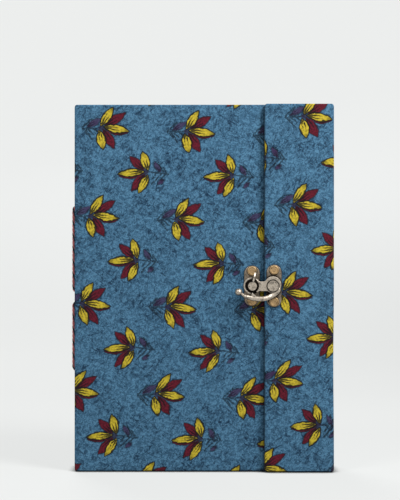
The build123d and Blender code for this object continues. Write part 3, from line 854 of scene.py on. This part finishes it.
def wrapped_cloth(name, path, start, stop, end, material, settings):
    """A stretch of the cover's cloth with its head and tail turned in, and its free end if it has one.

    end is -1 for a free end at start, 1 for one at stop and 0 for none. The corners of a free end are
    rounded, and mitred behind.
    """
    edge, corner = settings.edge_radius, settings.corner_radius
    cap, turn = settings.cap_radius, settings.turn_in
    height, deep = COVER_HEIGHT, WRAP_DEPTH
    halfway = (edge + corner) / 2
    end_edge = stop if end > 0 else start
    corner_u, corner_vs = end_edge - end * corner, (corner, height - corner)
    columns = path.columns(corner_u if end < 0 else start, corner_u if end > 0 else stop)
    if end:
        outer_lines = [end_edge - end * edge, end_edge - end * halfway]
        columns = outer_lines + columns if end < 0 else columns + outer_lines[::-1]
    middle = spread(*corner_vs, round(height / settings.spacing))
    rows = [edge, halfway, *middle, height - halfway, height - edge]
    wide, tall = len(columns), len(rows)
    vertices, prints, faces = [], [], []

    def in_corner(u, v):
        """The centre of the rounded corner that a place lies in, and the place's offset from it."""
        for centre, sign in zip(corner_vs, (-1, 1)):
            du, dv = u - corner_u, v - centre
            if end and min(du * end, dv * sign) >= -NO_LENGTH and hypot(du, dv) > NO_LENGTH:
                return (corner_u, centre), (du, dv)
        return None

    def rounded(u, v):
        """A place of the grid, drawn in to the rounding if it lies in a corner."""
        found = in_corner(u, v)
        if found is None:
            return u, v
        (cu, cv), (du, dv) = found
        scale = max(abs(du), abs(dv)) / hypot(du, dv)
        return cu + du * scale, cv + dv * scale

    def outward(i, j):
        """Direction on the flat cloth in which a line of the grid leaves the face at its edge."""
        found = in_corner(columns[i], rows[j])
        if found:
            return tuple(d / hypot(*found[1]) for d in found[1])
        if j in (0, tall - 1):
            return 0.0, -1.0 if j == 0 else 1.0
        return float(end), 0.0

    def point(u, v, depth, flat_u, flat_v):
        outer, inner, rise = path.at(u)
        share = depth / deep
        x, y = (a + (b - a) * share for a, b in zip(outer, inner))
        swell = CLOTH_SWELL * noise.noise(Vector((x * CLOTH_GRAIN, y * CLOTH_GRAIN, v * CLOTH_GRAIN)))
        pull = settings.bow * max(0.0, (x - FLAP_LOW.x) / (STRIP_HIGH.x - FLAP_LOW.x)) ** BOW_POWER
        droop = exp(-(((v - BOW_HEIGHT) / BOW_REACH) ** 2))
        short = min(max(0.0, cap - min(x - SPINE_LOW.x, STRIP_HIGH.x - x)), cap)
        drop = cap - (cap ** 2 - short ** 2) ** 0.5
        z = v + drop * (1 - 2 * v / height)
        vertices.append((x - pull * droop, y + swell * (1 - share), FRONT_LOW.z + z + rise))
        prints.append(path.printed(flat_u, flat_v + rise))
        return len(vertices) - 1

    places = [[rounded(u, v) for v in rows] for u in columns]
    grid = [[point(*place, 0, *place) for place in column] for column in places]
    for i in range(wide - 1):
        for j in range(tall - 1):
            faces.append([grid[i][j], grid[i + 1][j], grid[i + 1][j + 1], grid[i][j + 1]])

    tail, head = [(i, 0) for i in range(wide)], [(i, tall - 1) for i in range(wide)]
    side = [(wide - 1 if end > 0 else 0, j) for j in range(1, tall - 1)]
    if end > 0:
        chains = [(tail + side + head[::-1], True)]
    elif end < 0:
        chains = [(tail[::-1] + side + head, False)]
    else:
        chains = [(tail, True), (head, False)]

    bends = [radians(a) for a in RIM_BENDS]
    rim = [(edge * sin(a), edge * (1 - cos(a))) for a in bends]
    rim += [(edge, deep - edge)] + [(edge * cos(a), deep - edge + edge * sin(a)) for a in bends]
    lengths = list(accumulate(hypot(b[0] - a[0], b[1] - a[1]) for a, b in zip([(0.0, 0.0)] + rim, rim)))
    for chain, turning in chains:
        edges = [(*places[i][j], *outward(i, j)) for i, j in chain]
        rings = [[grid[i][j] for i, j in chain]]
        for (out, depth), length in zip(rim, lengths):
            rings.append([
                point(u + nu * out, v + nv * out, depth, u + nu * length, v + nv * length)
                for u, v, nu, nv in edges
            ])
        rings.append([])
        for u, v, nu, nv in edges:
            if min(abs(nu), abs(nv)) > SLANT:
                inset = corner
                inner_u, inner_v = end_edge - end * inset, inset if nv < 0 else height - inset
            elif abs(nv) > abs(nu):
                inset = min(path.turned(u, turn), abs(end_edge - u) if end else turn)
                inner_u, inner_v = u, inset if nv < 0 else height - inset
            else:
                inset = min(turn, v, height - v)
                inner_u, inner_v = end_edge - end * inset, v
            flat = lengths[-1] + inset - edge
            rings[-1].append(point(inner_u, inner_v, deep, u + nu * flat, v + nv * flat))
        for near, far in zip(rings, rings[1:]):
            for k in range(len(chain) - 1):
                quad = [near[k + 1], near[k], far[k], far[k + 1]]
                faces.append(quad if turning else quad[::-1])
    piece = build(name, vertices, faces, material, prints)
    thicken(piece, settings.thickness)
    return piece


def paper_strip(name, plan, low, high, rise, material, thickness):
    """A strip of paper that follows a plan line, with soft uneven ends at head and tail."""
    rows = spread(low, high, round((high - low) / LINING_SPACING))
    tall = len(rows)
    vertices, faces = [], []
    for i, (x, y) in enumerate(plan):
        for j, z in enumerate(rows):
            ragged = 0.0
            if j in (0, tall - 1):
                across, up, level = LINING_NOISE
                ragged = LINING_RAGGED * noise.noise(Vector((i * across, z * up, level)))
            vertices.append((x, y, z + rise[i] + ragged))
    for i in range(len(plan) - 1):
        for j in range(tall - 1):
            a = i * tall + j
            faces.append([a, a + tall, a + tall + 1, a + 1])
    piece = build(name, vertices, faces, material)
    thicken(piece, thickness)
    return piece


def fold_lining(corner, first, last, pleat):
    """Plan line of a lining that runs from one board to the next, with a shallow pleat in the crease.

    corner is where the two faces meet; first and last are the far ends of the two straight runs.
    """
    pleat_places, pleat_end, spacing = (0.25, 0.9, 2.4), 4, 4 * MM
    bottom = (corner[0] + pleat, corner[1] + (pleat if min(first[1], last[1]) < corner[1] else -pleat))

    def toward(end):
        away = hypot(end[0] - corner[0], end[1] - corner[1])
        way = ((end[0] - corner[0]) / away, (end[1] - corner[1]) / away)
        near = [place * pleat for place in pleat_places]
        far = spread(pleat_end * pleat, away, max(3, round(away / spacing)))
        return [(corner[0] + way[0] * d, corner[1] + way[1] * d) for d in near + far]

    return toward(first)[::-1] + [bottom] + toward(last)


def folded_section(name, low, high, settings, material, seed):
    """One section: nested folded sheets whose deckle edges all differ."""
    middle, half = (low.y + high.y) / 2, (high.y - low.y) / 2
    pitch = (half - LEAF_SLIT) / settings.sheets
    fold_x = low.x + half
    flat_x = fold_x + settings.fan
    vertices, faces = [], []

    def ragged(edge, where):
        """How far a deckle edge draws in at a place along it."""
        mean, coarse, fine = DECKLE_SHARES
        rough, feathered = (
            noise.noise(Vector((where * grain, seed * by_section + edge * by_edge, level)))
            for grain, by_section, by_edge, level in DECKLE_NOISES
        )
        return settings.deckle * (mean + coarse * rough + fine * feathered)

    def add(x, y, z):
        vertices.append((x, y, z))
        return len(vertices) - 1

    for sheet in range(settings.sheets):
        fold_out, flat_out = half - sheet * settings.fold_pitch, half - sheet * pitch
        fold_in, flat_in = fold_out - settings.leaf, flat_out - settings.leaf
        seams = []
        for side in (1, -1):
            edge = sheet * 2 + (side > 0)
            by_edge, by_section, level = LEAF_NOISE
            uneven = 0.5 + 0.5 * noise.noise(Vector((edge * by_edge, seed * by_section, level)))
            far = high.x - LEAF_SHORT - LEAF_UNEVEN * uneven
            xs = spread(flat_x, far, round((far - flat_x) / LEAF_SPACING))
            tail = [low.z + ragged(edge, x) for x in xs]
            head = [high.z - ragged(edge + HEAD_EDGES, x) for x in xs]
            zs = spread(tail[-1], head[-1], round((high.z - low.z) / LEAF_SPACING))
            fore = [far - ragged(edge + FORE_EDGES, z) for z in zs]
            tail_edge, head_edge = list(zip(xs, tail))[:-1], list(zip(xs, head))[:-1]
            outline = tail_edge + list(zip(fore, zs)) + head_edge[::-1]
            outer = [add(x, middle + side * flat_out, z) for x, z in outline]
            inner = [add(x, middle + side * flat_in, z) for x, z in outline]
            faces.append(outer if side > 0 else outer[::-1])
            faces.append(inner[::-1] if side > 0 else inner)
            for k in range(len(outline) - 1):
                quad = [outer[k + 1], outer[k], inner[k], inner[k + 1]]
                faces.append(quad if side > 0 else quad[::-1])
            seams.append(((outer[0], outer[-1], inner[0], inner[-1]), (tail[0], head[0])))
        (first, first_ends), (last, last_ends) = seams
        rings = [first]
        for share in spread(0, 1, FOLD_STEPS):
            angle = radians(90 + 180 * share)
            ends = [a + (b - a) * share for a, b in zip(first_ends, last_ends)]
            rings.append([
                add(fold_x + radius * cos(angle), middle + radius * sin(angle), z)
                for radius in (fold_out, fold_in)
                for z in ends
            ])
        rings.append(last)
        for (o0, o1, i0, i1), (p0, p1, j0, j1) in zip(rings, rings[1:]):
            faces += [[o0, o1, p1, p0], [i1, i0, j0, j1], [o0, p0, j0, i0], [p1, o1, i1, j1]]
    piece = build(name, vertices, faces, material)
    shape = bmesh.new()
    shape.from_mesh(piece.data)
    bmesh.ops.recalc_face_normals(shape, faces=shape.faces)
    shape.to_mesh(piece.data)
    shape.free()
    smooth_edges(piece, LEAF_SHARP)
    return piece


def route_points(name, corners):
    """Points along a smooth route through the corners of a cord's run."""
    curve = bpy.data.curves.new(name, "CURVE")
    curve.dimensions = "3D"
    spline = curve.splines.new("NURBS")
    spline.points.add(len(corners) - 1)
    for control, corner in zip(spline.points, corners):
        control.co = (*corner, 1.0)
    spline.order_u = ROUTE_ORDER
    spline.use_endpoint_u = True
    spline.resolution_u = ROUTE_STEPS
    holder = bpy.data.objects.new(name, curve)
    bpy.context.scene.collection.objects.link(holder)
    bpy.context.view_layer.update()
    line = bpy.data.meshes.new_from_object(holder.evaluated_get(bpy.context.evaluated_depsgraph_get()))
    places = [vertex.co.copy() for vertex in line.vertices]
    points = places[:1] + [b for a, b in zip(places, places[1:]) if (b - a).length > SAME_PLACE]
    bpy.data.objects.remove(holder)
    bpy.data.curves.remove(curve)
    bpy.data.meshes.remove(line)
    return points


def twisted_cord(name, corners, settings, materials, phase):
    """Three plies laid round each other along a route."""
    sides = PLY_SIDES
    line = route_points(name, corners)
    last = len(line) - 1
    travels = [0.0, *accumulate((b - a).length for a, b in zip(line, line[1:]))]
    lay = settings.ply * PLY_LAY
    steady = Vector((0, 1, 0))

    def across(run):
        beside = run.cross(steady).normalized()
        return beside, beside.cross(run).normalized()

    vertices, faces, finishes = [], [], []
    for ply in range(PLIES):
        centres = []
        for k, (point, travel) in enumerate(zip(line, travels)):
            beside, over = across(line[min(k + 1, last)] - line[max(k - 1, 0)])
            angle = 2 * pi * (travel / settings.pitch + ply / PLIES) + phase
            centres.append(point + (beside * cos(angle) + over * sin(angle)) * lay)
        first = len(vertices)
        for k, centre in enumerate(centres):
            beside, over = across(centres[min(k + 1, last)] - centres[max(k - 1, 0)])
            for s in range(sides):
                angle = 2 * pi * s / sides
                vertices.append(centre + (beside * cos(angle) + over * sin(angle)) * settings.ply)
        for k in range(last):
            for s in range(sides):
                a, b = first + k * sides + s, first + k * sides + (s + 1) % sides
                faces.append([a, b, b + sides, a + sides])
        end = first + last * sides
        faces += [[first + s for s in range(sides)][::-1], [end + s for s in range(sides)]]
        finishes += [1 if ply == 0 else 0] * (last * sides + 2)
    piece = build(name, [tuple(v) for v in vertices], faces, materials[0])
    piece.data.materials.append(materials[1])
    piece.data.polygons.foreach_set("material_index", finishes)
    smooth_edges(piece, ROUND_SHARP)
    return piece


def dress(nodes, material):
    """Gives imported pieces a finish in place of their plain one."""
    for node in nodes:
        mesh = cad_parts[node].data
        mesh.materials.clear()
        mesh.materials.append(material)


class DIARY_OT_cover_cloth(Operator):
    """Cover cloth: one stretch on the book and one over each crease of the flap"""

    bl_idname = "diary.cover_cloth"
    bl_label = "Cover Cloth"

    # How far behind the back crease the book's cloth starts
    BACK_SEAM = 12 * MM

    def execute(self, context):
        make_groups()
        settings = context.scene.diary.cloth
        material = cloth_finish(settings)
        path = ClothPath(settings)
        mid_strip = (path.flap_end + path.strip_end) / 2 + CREASE_RADIUS * pi / 4
        seam = path.strip_end + CREASE_RADIUS * pi / 2 + self.BACK_SEAM
        flap = wrapped_cloth("flap_wrap", path, 0.0, mid_strip, -1, material, settings)
        strip = wrapped_cloth("fore_edge_wrap", path, mid_strip, seam, 0, material, settings)
        book = wrapped_cloth("book_wrap", path, seam, path.end, 1, material, settings)
        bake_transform(flap)
        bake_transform(strip)
        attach(book, "book")
        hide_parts("flap_cloth")
        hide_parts("fore_edge_cloth")
        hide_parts("front_cloth", "spine_cloth", "back_cloth")
        return {"FINISHED"}


class DIARY_OT_linings(Operator):
    """Boards and lining paper, with the linings run on over the creases of the flap"""

    bl_idname = "diary.linings"
    bl_label = "Boards and Linings"

    # Overlap on the back cover's lining and the gap over it, the pleat in a crease, and the flap's bend
    OVERLAP = 3.0 * MM
    PLEAT = 0.33 * MM
    SKIN = 0.03 * MM
    TOLERANCE = 0.01 * MM
    BEND_START = (STRIP_HIGH.x, FLAP_CREASE_Y + 0.32 * MM, FRONT_LOW.z)

    def execute(self, context):
        make_groups()
        settings = context.scene.diary.paper
        paper = paper_finish("lining_paper", settings.lining_colour, settings.fibre_colour)
        board = paper_finish("binders_board", settings.board_colour, settings.fibre_colour)
        dress(["front_lining", "back_lining", "spine_lining"], paper)
        dress(["front_board", "back_board", "spine_card", "fore_edge_board", "flap_board"], board)
        inside = STRIP_LINING_LOW.x
        flap_face, back_face = FLAP_LINING_HIGH.y, BACK_LINING_LOW.y - self.SKIN
        low, high = BACK_LINING_LOW.z, BACK_LINING_HIGH.z
        flap_plan = fold_lining(
            (inside, flap_face), (inside, STRIP_MIDDLE_Y), (FLAP_LINING_LOW.x, flap_face), self.PLEAT
        )
        back_end = (BACK_LINING_HIGH.x - self.OVERLAP, back_face)
        strip_plan = fold_lining((inside, back_face), back_end, (inside, STRIP_MIDDLE_Y), self.PLEAT)
        strip_rise = [FLAP_LIFT if y < back_face - self.TOLERANCE else 0.0 for _, y in strip_plan]
        flap = paper_strip(
            "flap_lining_paper", flap_plan, low, high, [FLAP_LIFT] * len(flap_plan), paper, settings.lining
        )
        strip = paper_strip(
            "fore_edge_lining_paper", strip_plan, low, high, strip_rise, paper, settings.lining
        )
        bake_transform(flap)
        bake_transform(strip)
        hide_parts("flap_lining")
        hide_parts("fore_edge_lining")
        return {"FINISHED"}


class DIARY_OT_leaves(Operator):
    """Six sections of folded handmade leaves"""

    bl_idname = "diary.leaves"
    bl_label = "Leaves"

    def execute(self, context):
        make_groups()
        settings = context.scene.diary.paper
        paper = paper_finish("leaf_paper", settings.leaf_colour, settings.fibre_colour)
        for number, node in enumerate(SECTIONS, start=1):
            low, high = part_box(node)
            leaves = folded_section(f"leaves_{number}", low, high, settings, paper, number)
            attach(leaves, "book")
            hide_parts(node)
        return {"FINISHED"}


class DIARY_OT_sewing(Operator):
    """Twisted cords of the long stitches on the spine"""

    bl_idname = "diary.sewing"
    bl_label = "Sewing"

    # Heights of the four holes, length of the tails inside, and turn of the twist from cord to cord
    STATIONS = (156.0 * MM, 106.0 * MM, 99.5 * MM, 59.5 * MM)
    TAIL = 6.0 * MM
    PHASE = 1.3

    def execute(self, context):
        settings = context.scene.diary.cord
        finishes = [cord_finish("red_cotton", settings.red), cord_finish("black_cotton", settings.black)]
        first, second, third, fourth = self.STATIONS
        for number, node in enumerate(THREADS, start=1):
            low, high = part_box(node)
            middle, radius = (low.y + high.y) / 2, (high.y - low.y) / 2
            inside, outside = high.x - radius, low.x + radius
            reach = inside - outside
            corners = [(inside, middle, first + self.TAIL)]
            for top, bottom in ((first, second), (third, fourth)):
                corners += [
                    (inside, middle, top),
                    (outside, middle, top),
                    (outside, middle, top - reach),
                    (outside, middle, bottom + reach),
                    (outside, middle, bottom),
                    (inside, middle, bottom),
                ]
            corners.append((inside, middle, fourth - self.TAIL))
            cord = twisted_cord(f"stitches_{number}", corners, settings, finishes, number * self.PHASE)
            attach(cord, "book")
            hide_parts(node)
        return {"FINISHED"}


class DIARY_OT_clasp(Operator):
    """Aged metal on the hook, the post and their plates, and golden rivets"""

    bl_idname = "diary.clasp"
    bl_label = "Clasp"

    # How far off other metal makes a recess with patina and painted shade, then the distances from an axis
    # where metal
    # is black and bare: patina and painted shade on the post's rim, painted shade in the gap round it, dark
    # joints round the pivot
    NEAR, FAR = 2.4 * MM, 6.0 * MM
    POST_RIM_PATINA_AND_SHADE = (2.72 * MM, 2.42 * MM)
    POST_GAP_SHADE = (4.0 * MM, 5.2 * MM)
    PIVOT_RIM = (3.45 * MM, 3.10 * MM)
    PIVOT_WELL = (3.45 * MM, 3.85 * MM)

    def execute(self, context):
        make_groups()
        settings = context.scene.diary.clasp
        metal, plate, patina_and_shade, rubbed = settings.metal, settings.plate, settings.patina_and_shade, settings.rubbed
        for node, colour, reach, about, black in (
            ("hook_lever", metal, self.NEAR, "pivot_rivet", self.PIVOT_WELL),
            ("pivot_rivet", metal, self.NEAR, "pivot_rivet", self.PIVOT_RIM),
            ("catch_post", metal, self.NEAR, "catch_post", self.POST_RIM_PATINA_AND_SHADE),
            ("post_plate", plate, self.FAR, "catch_post", self.POST_GAP_SHADE),
            ("pivot_plate", plate, self.FAR, "pivot_rivet", self.PIVOT_WELL),
        ):
            low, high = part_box(about)
            axis = ((low.x + high.x) / 2, (low.z + high.z) / 2)
            dress([node], metal_finish(node + "_metal", colour, rubbed, patina_and_shade, reach, (*axis, *black)))
        rivet = metal_finish("rivet_brass", settings.rivet, settings.rubbed_rivet, patina_and_shade, self.NEAR)
        dress(["post_plate_rivets", "pivot_plate_rivets"], rivet)
        return {"FINISHED"}


class DIARY_OT_stage(Operator):
    """Pale floor and backdrop, soft light and the camera"""

    bl_idname = "diary.stage"
    bl_label = "Stage"

    FLOOR_HALF, FLOOR_FRONT = 2.4, -2.6
    WALL_Y, WALL_TOP = 1.6, 2.6
    COVE, COVE_STEPS = 0.7, 13

    # Share of the colour that is painted, light of the room, and share of the paint in what is seen
    PAINT, ROOM, SHADOW_SHARE = 0.5, 0.10, 0.45

    # Glow of the backdrop: on the floor, less of it where lamps light the floor, more of it up the wall
    GLOW, LIT_FLOOR = 1.40, 0.05
    LIT_NEAR, LIT_FAR = (0.1, 0.5), (1.05, 0.65)
    WALL_GLOW, WALL_FROM, WALL_TO = 0.32, -0.05, 0.27

    # Reach of the painted contact shadow under the diary, and how open the space is where it is dark and
    # where it ends
    CONTACT, CONTACT_OPEN = 7 * MM, (0.35, 0.90)
    SENSOR, CLIP = 36.0, (0.01, 20)

    # Name, place, size and power of each lamp
    LAMPS = (
        ("key", (0.50, -0.46, 0.72), 0.36, 7.4),
        ("fill", (-0.50, -0.62, 0.85), 0.42, 3.8),
        ("back", (-0.30, 0.90, 0.90), 0.60, 9.0),
    )

    def execute(self, context):
        settings = context.scene.diary.stage
        self.backdrop(settings)
        self.world(settings)
        for lamp in self.LAMPS:
            self.lamp(*lamp)
        self.camera(settings)
        bpy.context.scene.view_settings.view_transform = "Standard"
        return {"FINISHED"}

    def backdrop(self, settings):
        start = self.WALL_Y - self.COVE
        line = [(self.FLOOR_FRONT, 0.0), (start, 0.0)]
        for angle in spread(0, pi / 2, self.COVE_STEPS)[1:]:
            line.append((start + self.COVE * sin(angle), self.COVE * (1 - cos(angle))))
        line.append((self.WALL_Y, self.WALL_TOP))
        vertices = [(x, y, z) for y, z in line for x in (-self.FLOOR_HALF, self.FLOOR_HALF)]
        faces = [[2 * k, 2 * k + 1, 2 * k + 3, 2 * k + 2] for k in range(len(line) - 1)]
        material = bpy.data.materials.new("pale_backdrop")
        material.use_nodes = True
        graph = Graph(material.node_tree)
        material.node_tree.nodes.clear()
        colour = linear(settings.backdrop)
        darker = [c * self.PAINT for c in colour[:3]] + [1.0]
        paint = graph.node("ShaderNodeBsdfDiffuse", {"Color": darker}).outputs[0]
        place = graph.parts(graph.node("ShaderNodeTexCoord").outputs["Object"])
        lit = graph.times(graph.smooth(place["Y"], *self.LIT_NEAR), graph.smooth(place["Y"], *self.LIT_FAR))
        lit = graph.times(lit, -self.LIT_FLOOR)
        wall = graph.smooth(place["Z"], self.WALL_FROM, self.WALL_TO, self.WALL_GLOW)
        level = graph.plus(graph.plus(lit, wall), self.GLOW)
        # Painted contact shadow: the backdrop's glow dims where the diary is close
        close = graph.openness(self.CONTACT)
        strength = graph.times(level, graph.smooth(close, *self.CONTACT_OPEN))
        glow = graph.node("ShaderNodeEmission", {"Color": colour, "Strength": strength}).outputs[0]
        share = graph.times(graph.shown(), 1 - self.SHADOW_SHARE)
        mixed = graph.node("ShaderNodeMixShader", {0: share, 1: paint, 2: glow}).outputs[0]
        graph.node("ShaderNodeOutputMaterial", {0: mixed})
        floor = build("backdrop", vertices, faces, material)
        smooth_edges(floor, ROUND_SHARP)

    def world(self, settings):
        world = bpy.data.worlds.new("soft_room")
        bpy.context.scene.world = world
        world.use_nodes = True
        graph = Graph(world.node_tree)
        light = world.node_tree.nodes["Background"]
        light.inputs["Color"].default_value = linear(settings.backdrop)
        values = {"Value": graph.shown(), "To Min": self.ROOM}
        graph.feed(light.inputs["Strength"], graph.node("ShaderNodeMapRange", values).outputs[0])

    def lamp(self, name, place, size, power):
        light = bpy.data.lights.new(name, "AREA")
        light.shape = "DISK"
        light.size = size
        light.energy = power
        holder = bpy.data.objects.new(name, light)
        bpy.context.scene.collection.objects.link(holder)
        holder.location = place
        aim = Vector((0, 0, COVER_HEIGHT / 2)) - Vector(place)
        holder.rotation_euler = aim.to_track_quat("-Z", "Y").to_euler()

    def camera(self, settings):
        data = bpy.data.cameras.new("front_view")
        data.sensor_width = self.SENSOR
        data.lens = data.sensor_width * settings.camera_distance / settings.view_height
        data.clip_start, data.clip_end = self.CLIP
        holder = bpy.data.objects.new("front_view", data)
        bpy.context.scene.collection.objects.link(holder)
        away = FRONT_LOW.y - settings.camera_distance
        holder.location = (settings.camera_x, away, settings.camera_height)
        holder.rotation_euler = (pi / 2, 0, 0)
        bpy.context.scene.camera = holder


PIECES = (
    DIARY_OT_cover_cloth,
    DIARY_OT_linings,
    DIARY_OT_leaves,
    DIARY_OT_sewing,
    DIARY_OT_clasp,
    DIARY_OT_stage,
)


class VIEW3D_PT_diary(Panel):
    """Lists the diary's pieces and settings"""

    bl_label = "Diary"
    bl_idname = "VIEW3D_PT_diary"
    bl_space_type = "VIEW_3D"
    bl_region_type = "UI"
    bl_category = "Diary"

    def draw(self, context):
        for piece in PIECES:
            self.layout.operator(piece.bl_idname)
        for name in DiarySettings.__annotations__:
            group = getattr(context.scene.diary, name)
            box = self.layout.box()
            box.label(text=name.capitalize())
            for value in group.__annotations__:
                box.prop(group, value)


SETTINGS = (ClothSettings, PaperSettings, CordSettings, ClaspSettings, StageSettings, DiarySettings)
CLASSES = (*SETTINGS, *PIECES, VIEW3D_PT_diary)


def register():
    for item in CLASSES:
        bpy.utils.register_class(item)
    bpy.types.Scene.diary = PointerProperty(type=DiarySettings)


def unregister():
    del bpy.types.Scene.diary
    for item in reversed(CLASSES):
        bpy.utils.unregister_class(item)


def main():
    register()
    bpy.ops.diary.cover_cloth()
    bpy.ops.diary.linings()
    bpy.ops.diary.leaves()
    bpy.ops.diary.sewing()
    bpy.ops.diary.clasp()
    bpy.ops.diary.stage()


if __name__ == "__main__":
    main()
